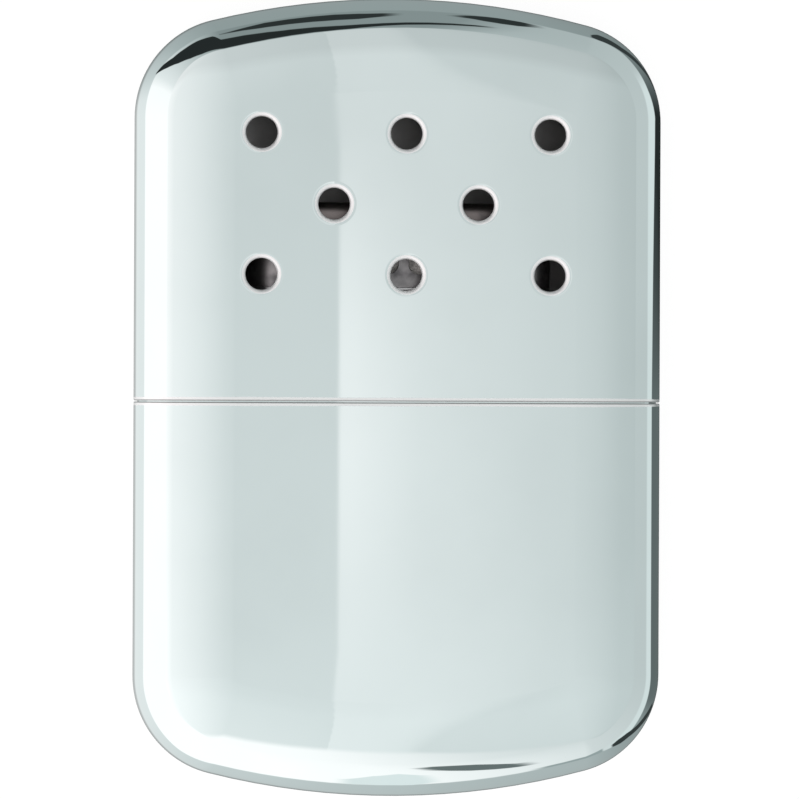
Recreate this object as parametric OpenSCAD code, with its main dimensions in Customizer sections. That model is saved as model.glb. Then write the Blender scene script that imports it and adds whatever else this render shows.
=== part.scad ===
// Catalytic pocket hand warmer: a drawn tank and a slip-on lid of plated sheet, with a
// clip-on catalytic burner between them. It lies on its back. X runs across it, +Y runs
// from the tank to the lid's end and +Z is the vented front. The origin is under its middle.

/* [Case] */
// Width across the two long sides
case_w = 66; // [60:1:74]
// Length from end to end with the lid on
case_l = 99; // [95:1:115]
// Thickness from back to front
case_t = 13; // [12:0.25:15]
// Length of the lid, from its mouth to its end
lid_l = 50; // [48:1:56]
// Radius of the corners in the front view
corner_r = 12.5; // [12:0.5:15]
// Radius of the bowed ends in the front view
end_r = 95; // [80:5:140]
// How far the rounding of the edges reaches in over the front and back
edge_in = 11.5; // [9:0.5:12]
// Angle turned by the tight part of that rounding, before the gentle part starts
edge_turn = 75; // [70:1:80]
// Thickness of the sheet that the lid and the tank are drawn from
wall = 0.4; // [0.3:0.05:0.6]
// Gap between the two mouths at the parting line
seam_gap = 0.12; // [0.05:0.01:0.3]

/* [Vents] */
// Diameter of a vent hole
vent_d = 3.9; // [3:0.1:5]
// Distance between neighbouring vents in a row
vent_pitch = 18; // [14:0.5:18]
// Distance between the rows of vents
vent_row_pitch = 8.7; // [7:0.1:9.5]
// Height of the lowest row of vents above the lid's mouth
vent_base = 15.6; // [13:0.1:17]
// Number of vents in each row, from the lowest row up
vent_rows = [3, 2, 3];

/* [Neck] */
// How far the neck stands out of the tank, inside the lid
neck_h = 8; // [6:0.5:10]
// How deep the neck is seated in the tank
neck_seat = 5; // [3:0.5:8]
// Thickness of the neck's sheet
neck_wall = 0.4; // [0.3:0.05:0.6]
// Outer radius of the neck's top edge
neck_edge_r = 1; // [0.8:0.1:1.4]
// Running clearance between the neck and the two shells round it
neck_fit = 0.06; // [0.02:0.01:0.1]

/* [Collar] */
// Width of the burner's collar on the neck
collar_w = 34; // [30:0.5:36]
// Thickness of the collar from back to front
collar_t = 5.8; // [5.2:0.1:6.7]
// How far the collar stands above the neck
collar_h = 5; // [4.6:0.1:6]
// Thickness of the collar's sheet
collar_wall = 0.4; // [0.3:0.05:0.6]
// Clearance between the collar's flange and the rounded inside of the neck's top
flange_fit = 0.2; // [0.1:0.05:0.4]
// Solder film between the collar and the hole that it stands in
solder = 0.03; // [0.01:0.01:0.05]

/* [Packing] */
// Distance of the felt's face below the collar's mouth
felt_drop = 4.6; // [4.4:0.1:5]
// Thickness of the felt pad
felt_l = 2.6; // [2:0.1:3]
// Height of the lowest cotton wad, in the tank's end
low_wad_l = 18; // [17:0.5:20]
// Height of the middle wad
mid_wad_l = 15; // [10:0.5:17]
// Gap left round each soft piece
soft_gap = 0.3; // [0.25:0.05:0.5]

/* [Burner] */
// Running clearance between the burner's skirt and the collar
skirt_fit = 0.05; // [0.02:0.01:0.1]
// Thickness of the skirt's sheet
skirt_wall = 0.5; // [0.4:0.05:0.7]
// Gap under the skirt's rim when the burner is seated
skirt_gap = 0.15; // [0.05:0.05:0.3]
// Gap between the collar's mouth and the skirt's shoulder
shoulder_gap = 0.6; // [0.3:0.1:1]
// Diameter of the rolled bead at the skirt's rim
bead_d = 1; // [0.9:0.1:1.1]
// How far the bead's centre stands out of the skirt
bead_out = 0.1; // [0.05:0.01:0.15]
// Thickness of the shoulder plate
shoulder_t = 0.5; // [0.4:0.05:0.8]
// Width of the port in the shoulder plate
port_w = 30; // [26:0.5:32]
// Thickness of the port from back to front
port_t = 4.4; // [3.6:0.1:5.2]
// How far the shoulder and the cage stand out past the collar at each end
shoulder_out = 2; // [1.75:0.05:3]
// Thickness of the cage from back to front
cage_t = 8; // [7.6:0.1:9.8]
// Height of the cage above the shoulder
cage_h = 10.5; // [10:0.5:13]
// Thickness of the cage's sheet
cage_wall = 0.4; // [0.3:0.05:0.5]
// Radius of the cage's top edge
cage_edge_r = 1.6; // [0.9:0.1:1.8]
// Number of windows along each face
window_count = 8; // [6:1:9]
// Width of a window
window_w = 2.6; // [2:0.1:2.8]
// Height of a window
window_h = 6.5; // [4:0.5:7]
// Width of the bar between two windows
window_bar = 1.2; // [1:0.1:1.4]
// Height of a window's foot above the shoulder
window_base = 1.6; // [1.2:0.1:2]
// Length of each slot across the top, from back to front
slot_l = 3.8; // [3:0.1:4.5]

/* [Catalyst] */
// Thickness of the perforated plate under the catalyst mat
gauze_t = 0.4; // [0.3:0.05:0.6]
// Diameter of its holes
gauze_hole_d = 1.2; // [0.8:0.1:1.4]
// Distance between its holes
gauze_pitch = 2; // [1.8:0.1:2.4]
// Clearance of the plate and the mat inside the cage
cage_fit = 0.1; // [0.05:0.01:0.2]
// Gap between the mat and the cage's top
mat_gap = 0.3; // [0.2:0.05:0.6]
// Radius of the mat's top edge
mat_edge_r = 1.4; // [0.8:0.1:1.5]

/* [Hidden] */
$fn = 40;
over = 1;                              // how far a cutter runs past what it cuts
slice = 0.01;                          // thickness of a section that a hull is drawn over
edge_steps = 4;                        // number of sections round the neck's top edge

// The edge's rounding is a tight arc and a gentle one, tangent to each other and to the face.
half_t = case_t / 2;
turn_c = cos(edge_turn);
turn_s = sin(edge_turn);
turn_k = turn_s + turn_c - 1;
tight_r = (turn_c * half_t - (1 - turn_s) * edge_in) / turn_k;
gentle_r = (turn_s * edge_in - (1 - turn_c) * half_t) / turn_k;

// The outline in the front view: straight sides, corner arcs, bowed ends.
side_x = case_w / 2 - corner_r;
end_turn = asin(side_x / (end_r - corner_r));
corner_drop = end_r - (end_r - corner_r) * cos(end_turn);

// Places along Y, from the parting line up.
seam_y = case_l / 2 - lid_l;
tank_y = seam_y - seam_gap;
tank_l = case_l - lid_l - seam_gap;
deck_y = seam_y + neck_h;
flange_y = deck_y - neck_wall - collar_wall;
collar_y = deck_y + collar_h;
skirt_y = deck_y + skirt_gap;
shoulder_y = collar_y + shoulder_gap;
cage_y = shoulder_y + shoulder_t;
mat_y = cage_y + gauze_t;

// Places of the packing, from the felt down to the tank's end.
felt_y = collar_y - felt_drop - felt_l;
tank_floor_y = tank_y - tank_l + wall + soft_gap;
low_wad_y = tank_floor_y + low_wad_l;
mid_wad_y = low_wad_y + soft_gap + mid_wad_l;

// How far in from the outside the nested pieces lie.
neck_in = wall + neck_fit;
neck_hollow_in = neck_in + neck_wall;
neck_flat_in = neck_in + neck_edge_r;
flange_w = half_t - neck_flat_in - flange_fit - collar_t / 2;

// Sizes of the burner that follow from its neighbours'.
skirt_w = collar_w + 2 * (skirt_fit + skirt_wall);
skirt_t = collar_t + 2 * (skirt_fit + skirt_wall);
cage_w = collar_w + 2 * shoulder_out;
cage_in = cage_wall + cage_fit;
window_pitch = window_w + window_bar;

plating = [0.80, 0.82, 0.83];
steel = [0.66, 0.67, 0.68];
cotton = [0.93, 0.92, 0.89];

// Half of a cross-section's rounded side, from the corner's centre line outwards. inset moves
// every face in by the same distance.
module side_profile(inset) {
    face = half_t - inset;
    join_x = corner_r - tight_r + (tight_r - inset) * turn_c;
    union() {
        translate([corner_r - tight_r, 0])
            circle(r = tight_r - inset);
        intersection() {
            translate([corner_r - edge_in, half_t - gentle_r])
                circle(r = gentle_r - inset);
            translate([corner_r - edge_in, gentle_r - half_t])
                circle(r = gentle_r - inset);
            translate([0, -face])
                square([join_x, 2 * face]);
        }
        translate([0, -face])
            square([corner_r - edge_in, 2 * face]);
    }
}

// The whole cross-section, across X, about the mid plane.
module cross_section(inset) {
    square([2 * side_x, 2 * (half_t - inset)], center = true);
    translate([side_x, 0])
        side_profile(inset);
    mirror([1, 0])
        translate([side_x, 0])
            side_profile(inset);
}

// A solid of the case's section with one bowed end, from y = start to y = length.
module bowed_slab(length, inset, start) {
    corner_y = length - corner_drop;
    hull() {
        translate([0, corner_y, 0])
            rotate([90, 0, 0])
                linear_extrude(corner_y - start)
                    cross_section(inset);
        translate([0, length - end_r, 0])
            rotate_extrude(angle = 2 * end_turn, start = 90 - end_turn, $fn = 120)
                translate([end_r - corner_r, 0])
                    side_profile(inset);
        for (side = [0, 1])
            mirror([side, 0, 0])
                translate([side_x, corner_y, 0])
                    rotate_extrude(angle = 90 - end_turn)
                        side_profile(inset);
    }
}

// A drawn cup of the sheet, with its mouth at y = 0 and its end at y = length.
module drawn_cup(length) {
    difference() {
        bowed_slab(length, 0, 0);
        bowed_slab(length, wall, -over);
    }
}

// An outline with two straight sides and round ends, across X.
module obround(w, t) {
    square([w - t, t], center = true);
    for (side = [-1, 1])
        translate([side * (w - t) / 2, 0])
            circle(d = t);
}

// An obround prism standing along Y from y = start.
module obround_bar(w, t, start, length) {
    translate([0, start + length, 0])
        rotate([90, 0, 0])
            linear_extrude(length)
                obround(w, t);
}

// Sweeps a profile (distance outwards, height) round an obround's centre line, along Y.
module obround_sweep(w, t) {
    run = (w - t) / 2;
    rotate([-90, 0, 0]) {
        for (side = [-1, 1])
            translate([side * run, 0, 0])
                rotate_extrude(angle = 180, start = -90 * side)
                    children();
        translate([-run, 0, 0])
            rotate([90, 0, 90])
                linear_extrude(2 * run) {
                    children();
                    mirror([1, 0])
                        children();
                }
    }
}

// A closed obround block standing along Y from y = 0, whose top edge is rounded.
module round_topped(w, t, height, edge_r) {
    obround_sweep(w, t)
        union() {
            square([t / 2, height - edge_r]);
            square([t / 2 - edge_r, height]);
            translate([t / 2 - edge_r, height - edge_r])
                circle(r = edge_r);
        }
}

// Carries children() over each vent of the front face.
module at_vents() {
    for (row = [0 : len(vent_rows) - 1])
        for (i = [0 : vent_rows[row] - 1])
            translate([(i - (vent_rows[row] - 1) / 2) * vent_pitch, vent_base + row * vent_row_pitch, 0])
                children();
}

// Carries children() to each window's place along the cage.
module at_windows() {
    for (i = [0 : window_count - 1])
        translate([(i - (window_count - 1) / 2) * window_pitch, 0, 0])
            children();
}

module lid_shell() {
    color(plating)
        translate([0, seam_y, half_t])
            difference() {
                drawn_cup(lid_l);
                at_vents()
                    translate([0, 0, half_t - wall - over])
                        cylinder(d = vent_d, h = wall + 2 * over);
            }
}

module case_shell() {
    color(plating)
        translate([0, tank_y, half_t])
            mirror([0, 1, 0])
                drawn_cup(tank_l);
}

// A block of the case's section that stands down from y = 0, with its top edge rounded.
module shouldered_block(inset, length, edge_r) {
    hull() {
        translate([0, -edge_r, 0])
            rotate([90, 0, 0])
                linear_extrude(length - edge_r)
                    cross_section(inset);
        for (turn = [90 / edge_steps : 90 / edge_steps : 90])
            translate([0, edge_r * (sin(turn) - 1), 0])
                rotate([90, 0, 0])
                    linear_extrude(slice)
                        cross_section(inset + edge_r * (1 - cos(turn)));
    }
}

// The drawn neck that the lid slips over. Its top closes the tank round the collar.
module neck_cap() {
    length = neck_h + seam_gap + neck_seat;
    color(plating)
        translate([0, deck_y, half_t])
            difference() {
                shouldered_block(neck_in, length, neck_edge_r);
                translate([0, -neck_wall, 0])
                    shouldered_block(neck_hollow_in, length, neck_edge_r - neck_wall);
                obround_bar(collar_w + 2 * solder, collar_t + 2 * solder, -neck_wall - over, neck_wall + 2 * over);
            }
}

// The collar is flanged under the neck's top. Fuel goes in through it, and the burner clips on.
module burner_collar() {
    length = collar_y - flange_y;
    color(steel)
        translate([0, 0, half_t])
            difference() {
                union() {
                    obround_bar(collar_w, collar_t, flange_y, length);
                    obround_bar(collar_w + 2 * flange_w, collar_t + 2 * flange_w, flange_y, collar_wall);
                }
                obround_bar(collar_w - 2 * collar_wall, collar_t - 2 * collar_wall, flange_y - over, length + 2 * over);
            }
}

module wick_felt() {
    felt_in = collar_wall + soft_gap;
    color(cotton)
        translate([0, 0, half_t])
            obround_bar(collar_w - 2 * felt_in, collar_t - 2 * felt_in, felt_y, felt_l);
}

// A wad that fills the tank's straight part between two heights.
module straight_wad(inset, foot_y, top_y) {
    color(cotton)
        translate([0, top_y, half_t])
            rotate([90, 0, 0])
                linear_extrude(top_y - foot_y)
                    cross_section(inset);
}

module cotton_wad_top() {
    straight_wad(neck_hollow_in + soft_gap, mid_wad_y + soft_gap, felt_y);
}

module cotton_wad_middle() {
    straight_wad(wall + soft_gap, low_wad_y + soft_gap, mid_wad_y);
}

module cotton_wad_bottom() {
    color(cotton)
        translate([0, tank_y, half_t])
            mirror([0, 1, 0])
                bowed_slab(tank_l, wall + soft_gap, tank_y - low_wad_y, $fn = 24);
}

// The burner's foot: a skirt that slips over the collar, hemmed with a bead, under a shoulder
// plate whose port lets the fuel's vapour up.
module burner_skirt() {
    height = shoulder_y - skirt_y;
    color(steel)
        translate([0, 0, half_t])
            difference() {
                union() {
                    obround_bar(skirt_w, skirt_t, skirt_y, height);
                    obround_bar(cage_w, cage_t, shoulder_y, shoulder_t);
                    translate([0, skirt_y + bead_d / 2, 0])
                        obround_sweep(skirt_w, skirt_t)
                            translate([skirt_t / 2 + bead_out, 0])
                                circle(d = bead_d);
                }
                obround_bar(collar_w + 2 * skirt_fit, collar_t + 2 * skirt_fit, skirt_y - over, height + over);
                obround_bar(port_w, port_t, shoulder_y - over, shoulder_t + 2 * over);
            }
}

// The cage over the mat: a drawn cover with a round top edge, a row of windows through both
// faces and a row of slots across its top, each over a window.
module burner_cage() {
    color(plating)
        translate([0, cage_y, half_t])
            difference() {
                round_topped(cage_w, cage_t, cage_h, cage_edge_r);
                translate([0, -over, 0])
                    round_topped(
                        cage_w - 2 * cage_wall, cage_t - 2 * cage_wall,
                        cage_h - cage_wall + over, cage_edge_r - cage_wall
                    );
                at_windows()
                    translate([0, window_base + window_h / 2, 0])
                        linear_extrude(cage_t + 2 * over, center = true)
                            rotate(90)
                                obround(window_h, window_w);
                at_windows()
                    rotate([0, 90, 0])
                        obround_bar(slot_l, window_w, cage_h - cage_wall - over, cage_wall + 2 * over);
            }
}

// The plate that carries the mat over the port, pierced in rows.
module catalyst_gauze() {
    w = cage_w - 2 * cage_in;
    t = cage_t - 2 * cage_in;
    columns = floor((w - t) / gauze_pitch / 2);
    rows = floor((t / 2 - gauze_hole_d) / gauze_pitch);
    color(steel)
        translate([0, cage_y, half_t])
            difference() {
                obround_bar(w, t, 0, gauze_t);
                for (column = [-columns : columns], row = [-rows : rows])
                    translate([column * gauze_pitch, -over, row * gauze_pitch])
                        rotate([-90, 0, 0])
                            cylinder(d = gauze_hole_d, h = gauze_t + 2 * over);
            }
}

// The platinum-coated glass-fibre mat where the vapour burns without a flame.
module catalyst_mat() {
    color([0.86, 0.85, 0.82])
        translate([0, mat_y, half_t])
            round_topped(
                cage_w - 2 * cage_in, cage_t - 2 * cage_in,
                cage_h - cage_wall - gauze_t - mat_gap, mat_edge_r
            );
}

lid_shell();
case_shell();
neck_cap();
burner_collar();
wick_felt();
cotton_wad_top();
cotton_wad_middle();
cotton_wad_bottom();
burner_skirt();
burner_cage();
catalyst_gauze();
catalyst_mat();
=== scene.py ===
# %% [markdown]
# # A catalytic pocket hand warmer
# The object is a flat chrome case that lies on its back. A vented lid slips over a tank full of
# cotton, and a small burner clips on between them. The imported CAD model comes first, as a frame
# that nothing here moves. Each piece that shows is then modelled again, in the same place and at
# the same size, with the smooth skin and the fine edges that chrome needs.

# %% Load the frame
import math
import bmesh
import bpy
from mathutils import Matrix, Vector


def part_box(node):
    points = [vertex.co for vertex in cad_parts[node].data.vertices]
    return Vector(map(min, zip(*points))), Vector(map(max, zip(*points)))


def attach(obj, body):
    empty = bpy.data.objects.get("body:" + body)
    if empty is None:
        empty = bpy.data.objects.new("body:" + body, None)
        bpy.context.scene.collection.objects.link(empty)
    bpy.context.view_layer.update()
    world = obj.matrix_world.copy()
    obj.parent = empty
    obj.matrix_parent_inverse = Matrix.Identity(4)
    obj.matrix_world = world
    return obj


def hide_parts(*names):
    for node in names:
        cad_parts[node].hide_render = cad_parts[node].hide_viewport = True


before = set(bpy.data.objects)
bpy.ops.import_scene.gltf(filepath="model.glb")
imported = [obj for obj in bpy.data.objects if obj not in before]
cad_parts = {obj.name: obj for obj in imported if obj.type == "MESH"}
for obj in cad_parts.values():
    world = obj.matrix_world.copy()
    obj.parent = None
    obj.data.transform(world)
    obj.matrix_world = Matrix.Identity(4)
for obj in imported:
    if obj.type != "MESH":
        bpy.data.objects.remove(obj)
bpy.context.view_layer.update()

# %% [markdown]
# Every size is worked out from the frame where the frame can tell it, and is otherwise the real
# size that the CAD model has, in metres. The outline is a pair of straight sides, four corner
# arcs and two bowed ends. The edge's rounding is a tight arc between two gentle ones, whose radii
# follow from how thick the case is and how far in the rounding reaches.

# %% Sizes of the case
MM = 0.001
lid_low, lid_high = (Vector(corner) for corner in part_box("lid_shell"))
tank_low, tank_high = (Vector(corner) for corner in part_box("case_shell"))
half_width = lid_high.x
half_thick = lid_high.z / 2
seam_y = lid_low.y
tank_y = tank_high.y
lid_length = lid_high.y - lid_low.y
tank_length = tank_high.y - tank_low.y
wall = 0.4 * MM
corner_radius = 12.5 * MM
end_radius = 95 * MM
edge_reach = 11.5 * MM
tight_turn = math.radians(75)

cosine, sine = math.cos(tight_turn), math.sin(tight_turn)
tight_radius = (cosine * half_thick - (1 - sine) * edge_reach) / (sine + cosine - 1)
gentle_radius = (sine * edge_reach - (1 - cosine) * half_thick) / (sine + cosine - 1)
side_x = half_width - corner_radius
end_turn = math.asin(side_x / (end_radius - corner_radius))
corner_drop = end_radius - (end_radius - corner_radius) * math.cos(end_turn)
print(f"edge arcs {tight_radius / MM:.2f} and {gentle_radius / MM:.2f} mm")
print(f"corner drop {corner_drop / MM:.2f} mm")

# %% [markdown]
# A few helpers stand for what a modeller's hands do: choose a piece, add a primitive, go in and out
# of edit mode, pick by place, extrude and spin, and put a finished piece's place into its mesh.

# %% Modelling helpers
# Points nearer than this are one point, and a point this near a place is at it.
TOUCH = 0.001 * MM


def choose(piece, *others):
    """Selects pieces and nothing else, and makes the first one active."""
    bpy.ops.object.select_all(action="DESELECT")
    for chosen in (piece, *others):
        chosen.select_set(True)
    bpy.context.view_layer.objects.active = piece


def add(primitive, name, **settings):
    """Adds a mesh primitive by itself, with its place in its mesh, and names it."""
    bpy.ops.object.select_all(action="DESELECT")
    getattr(bpy.ops.mesh, "primitive_" + primitive + "_add")(**settings)
    piece = bpy.context.object
    piece.name = piece.data.name = name
    bpy.ops.object.transform_apply(location=True, rotation=True, scale=True)
    return piece


def edit(piece):
    """Opens one piece by itself in edit mode."""
    if bpy.context.mode != "OBJECT":
        bpy.ops.object.mode_set(mode="OBJECT")
    choose(piece)
    bpy.ops.object.mode_set(mode="EDIT")


def close():
    """Goes back to object mode, which writes the edits into the mesh."""
    bpy.ops.object.mode_set(mode="OBJECT")


def pick(piece, kind, test):
    """Selects the vertices, edges or faces that pass a test, and nothing else."""
    bpy.ops.mesh.select_mode(type=kind)
    mesh = bmesh.from_edit_mesh(piece.data)
    for part in (*mesh.verts, *mesh.edges, *mesh.faces):
        part.select = False
    parts = {"VERT": mesh.verts, "EDGE": mesh.edges, "FACE": mesh.faces}[kind]
    for part in parts:
        if test(part):
            part.select = True
    mesh.select_flush_mode()
    bmesh.update_edit_mesh(piece.data)


def point(name, place):
    """A piece that starts as one vertex at a place, left open in edit mode and selected."""
    piece = add("plane", name, size=MM, location=place)
    edit(piece)
    bpy.ops.mesh.select_mode(type="VERT")
    bpy.ops.mesh.select_all(action="SELECT")
    bpy.ops.mesh.merge(type="CENTER")
    return piece


def spin(turn, centre, axis, steps):
    """Spins what is selected by the right-hand rule, which is the operator's negative turn."""
    bpy.ops.mesh.spin(steps=steps, angle=-turn, center=centre, axis=axis, dupli=False)


def extrude(shift):
    """Extrudes what is selected by a shift."""
    bpy.ops.mesh.extrude_region_move(TRANSFORM_OT_translate={"value": shift})


def weld(piece, outwards=True):
    """Merges doubles, and turns all faces outwards unless told not to."""
    edit(piece)
    bpy.ops.mesh.select_all(action="SELECT")
    bpy.ops.mesh.remove_doubles(threshold=TOUCH)
    if outwards:
        bpy.ops.mesh.normals_make_consistent(inside=False)
    close()


def finish_with(piece, kind, **settings):
    """Adds one modifier and applies it."""
    choose(piece)
    modifier = piece.modifiers.new(kind.title(), kind)
    for key, value in settings.items():
        setattr(modifier, key, value)
    bpy.ops.object.modifier_apply(modifier=modifier.name)


def smooth(piece, degrees):
    """Smooth shading, with a crease wherever two faces meet at more than an angle."""
    choose(piece)
    bpy.ops.object.shade_smooth_by_angle(angle=math.radians(degrees))


def centred(count, pitch):
    """Places at a pitch along a row whose middle is at 0."""
    return [(i - (count - 1) / 2) * pitch for i in range(count)]


def move(piece, shift, flip_y=False):
    """Moves a finished piece's mesh, mirrored end for end first if asked."""
    edit(piece)
    bpy.ops.mesh.select_all(action="SELECT")
    if flip_y:
        bpy.ops.transform.resize(value=(1, -1, 1), center_override=(0, 0, 0))
        bpy.ops.mesh.flip_normals()
    bpy.ops.transform.translate(value=shift)
    close()

# %% [markdown]
# The two shells are the object's face, and chrome shows every flaw in a skin. Cutting them from a
# subdivided box would leave wavy reflections. So the edge's section is drawn once as a chain of
# three arcs and swept round the outline, as a draw die is turned: along one side, round a corner,
# across the bowed end, and back. The flat faces are then filled in.

# %% Sweep the skin of a shell
GENTLE_STEPS = 8
TIGHT_STEPS = 40
CORNER_STEPS = 24
END_STEPS = 16
FLAT = 0.3 * MM


def section_chain(name, y, inset=0):
    """The left side's section at a height y, from the front face round to the back face.

    It starts and ends with a short flat, so that a filled face has only its own plane beside it.
    """
    gentle_turn = math.pi / 2 - tight_turn
    flat_x = -(half_width - edge_reach)
    piece = point(name, (flat_x + FLAT, y, half_thick - inset))
    extrude((-FLAT, 0, 0))
    spin(-gentle_turn, (flat_x, y, half_thick - gentle_radius), (0, 1, 0), GENTLE_STEPS)
    spin(-2 * tight_turn, (tight_radius - half_width, y, 0), (0, 1, 0), TIGHT_STEPS)
    spin(-gentle_turn, (flat_x, y, gentle_radius - half_thick), (0, 1, 0), GENTLE_STEPS)
    extrude((FLAT, 0, 0))
    bpy.ops.mesh.select_all(action="SELECT")
    return piece


def sweep_skin(name, length, start=0, inset=0):
    """The open skin of a shell whose mouth is at y = start and whose end is at y = length."""
    corner_y = length - corner_drop
    piece = section_chain(name, start, inset)
    extrude((0, corner_y - start, 0))
    spin(end_turn - math.pi / 2, (-side_x, corner_y, 0), (0, 0, 1), CORNER_STEPS)
    spin(-2 * end_turn, (0, length - end_radius, 0), (0, 0, 1), END_STEPS)
    spin(end_turn - math.pi / 2, (side_x, corner_y, 0), (0, 0, 1), CORNER_STEPS)
    extrude((0, start - corner_y, 0))
    close()
    return piece


# %% [markdown]
# The lid breathes through eight punched vents in rows of three, two and three. A punch leaves each
# one with a small rolled lip, which catches the light as a ring, and a pale painted highlight on the
# lip brightens that ring all round. A lip is spun once as a quarter arc and copied to each place.
# The skin's flat face is then filled round all the lips at once, so no cut runs through it and the
# reflection stays flat.

# %% Vent lips
VENT_RADIUS = 1.95 * MM
VENT_PITCH = 18 * MM
VENT_ROW_PITCH = 8.7 * MM
VENT_BASE = 15.6 * MM
VENT_ROWS = (3, 2, 3)
LIP = 0.5 * MM
VENT_STEPS = 64
LIP_STEPS = 8

vent_places = [
    (x, VENT_BASE + row * VENT_ROW_PITCH)
    for row, count in enumerate(VENT_ROWS)
    for x in centred(count, VENT_PITCH)
]


def vent_lip():
    """A rolled lip at the origin, from the flat face down into the hole."""
    piece = point("vent_lip", (VENT_RADIUS + LIP + FLAT, 0, half_thick))
    extrude((-FLAT, 0, 0))
    spin(-math.pi / 2, (VENT_RADIUS + LIP, 0, half_thick - LIP), (0, 1, 0), LIP_STEPS)
    bpy.ops.mesh.select_all(action="SELECT")
    spin(2 * math.pi, (0, 0, 0), (0, 0, 1), VENT_STEPS)
    close()
    return piece


def copy_of(piece, name):
    """A copy with its own mesh."""
    choose(piece)
    bpy.ops.object.duplicate(linked=False)
    twin = bpy.context.object
    twin.name = twin.data.name = name
    return twin


def join(first, others):
    """Joins other pieces into the first one."""
    choose(first, *others)
    bpy.ops.object.join()
    return first


def drop(piece):
    """Takes away a piece that was only a pattern or a tool."""
    bpy.data.objects.remove(piece, do_unlink=True)


pattern = vent_lip()
lips = []
for number, (x, y) in enumerate(vent_places):
    lips.append(copy_of(pattern, f"lip_{number}"))
    move(lips[-1], (x, y, 0))
drop(pattern)
print("vent lips", len(lips), "of", len(lips[0].data.vertices), "points")

# %% [markdown]
# The swept skin still needs its two flat faces. An edge across the mouth closes each outline, and
# filling it makes the face. Solidify then gives the sheet its thickness inwards, and a small bevel
# on the lips of the mouth stands for the drawn edge. Where the two shells meet, the two bevels make
# the fine groove that draws the joint.

# %% Shells
MOUTH_BEVEL = 0.17 * MM
flat_inner_x = half_width - edge_reach - FLAT / 2


def flat_outline(piece, side, start=0, inset=0):
    """Closes the mouth's side of a flat face, and selects the face's whole outline."""
    z = side * (half_thick - inset)
    on_face = lambda place: abs(place.z - z) < TOUCH
    at_mouth = lambda place: abs(place.y - start) < TOUCH
    pick(piece, "VERT", lambda v: on_face(v.co) and at_mouth(v.co) and abs(v.co.x) < flat_inner_x)
    bpy.ops.mesh.edge_face_add()
    rim = lambda e: e.is_boundary and not all(at_mouth(v.co) for v in e.verts)
    pick(piece, "EDGE", lambda e: (e.is_wire or rim(e)) and all(on_face(v.co) for v in e.verts))


def drawn_shell(name, length, vents=()):
    """A shell of sheet with its mouth at y = 0 and its end at y = length, about the mid plane."""
    piece = sweep_skin(name, length)
    if vents:
        join(piece, vents)
    weld(piece, outwards=False)
    edit(piece)
    for side in (1, -1):
        flat_outline(piece, side)
        bpy.ops.mesh.fill(use_beauty=True)
    close()
    weld(piece)
    finish_with(piece, "SOLIDIFY", thickness=wall, offset=-1, use_even_offset=True)
    finish_with(piece, "BEVEL", width=MOUTH_BEVEL, segments=4, limit_method="ANGLE",
                angle_limit=math.radians(55), use_clamp_overlap=False)
    return piece


def polish(piece):
    """Smooth shading in which the broad faces keep their own direction."""
    smooth(piece, 60)
    finish_with(piece, "WEIGHTED_NORMAL", weight=80, keep_sharp=True)


def extent(piece):
    """A piece's lowest and highest corner, in millimetres."""
    places = [v.co for v in piece.data.vertices]
    return [[round(pick_end(p[i] for p in places) / MM, 2) for i in range(3)] for pick_end in (min, max)]


lid_skin = drawn_shell("lid_skin", lid_length, lips)
move(lid_skin, (0, seam_y, half_thick))
case_skin = drawn_shell("case_skin", tank_length)
move(case_skin, (0, tank_y, half_thick), flip_y=True)
for skin in (lid_skin, case_skin):
    polish(skin)
    print(skin.name, len(skin.data.polygons), "faces", extent(skin))

# %% [markdown]
# A finish is a node tree. So that its sums read as sums, a Link stands for a socket and takes part
# in arithmetic, and every other node comes from one method that takes its type, its settings and
# what goes into its sockets.

# %% Node trees
class Link:
    """An output socket that can be added, multiplied and so on."""

    def __init__(self, tree, socket):
        self.tree, self.socket = tree, socket

    def math(self, operation, *values):
        return self.tree.add("Math", {"operation": operation}, dict(enumerate(values)))

    def __add__(self, other):
        return self.math("ADD", self, other)

    def __radd__(self, other):
        return self.math("ADD", other, self)

    def __sub__(self, other):
        return self.math("SUBTRACT", self, other)

    def __rsub__(self, other):
        return self.math("SUBTRACT", other, self)

    def __mul__(self, other):
        return self.math("MULTIPLY", self, other)

    def __rmul__(self, other):
        return self.math("MULTIPLY", other, self)

    def __truediv__(self, other):
        return self.math("DIVIDE", self, other)

    def __abs__(self):
        return self.math("ABSOLUTE", self)

    def rise(self, low, high):
        """0 below low and 1 above high, with a smooth step between; falls if low is above high."""
        up = (0, 1) if low < high else (1, 0)
        values = {"Value": self, "From Min": min(low, high), "From Max": max(low, high),
                  "To Min": up[0], "To Max": up[1]}
        return self.tree.add("MapRange", {"interpolation_type": "SMOOTHSTEP"}, values)

    def ramp(self, low, high, stops):
        """A curve through stops of (value, level), from low to high."""
        span = high - low
        placed = [((value - low) / span, level) for value, level in stops]
        return self.tree.add("ValToRGB", {"stops": placed}, {"Fac": (self - low) / span})


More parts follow.
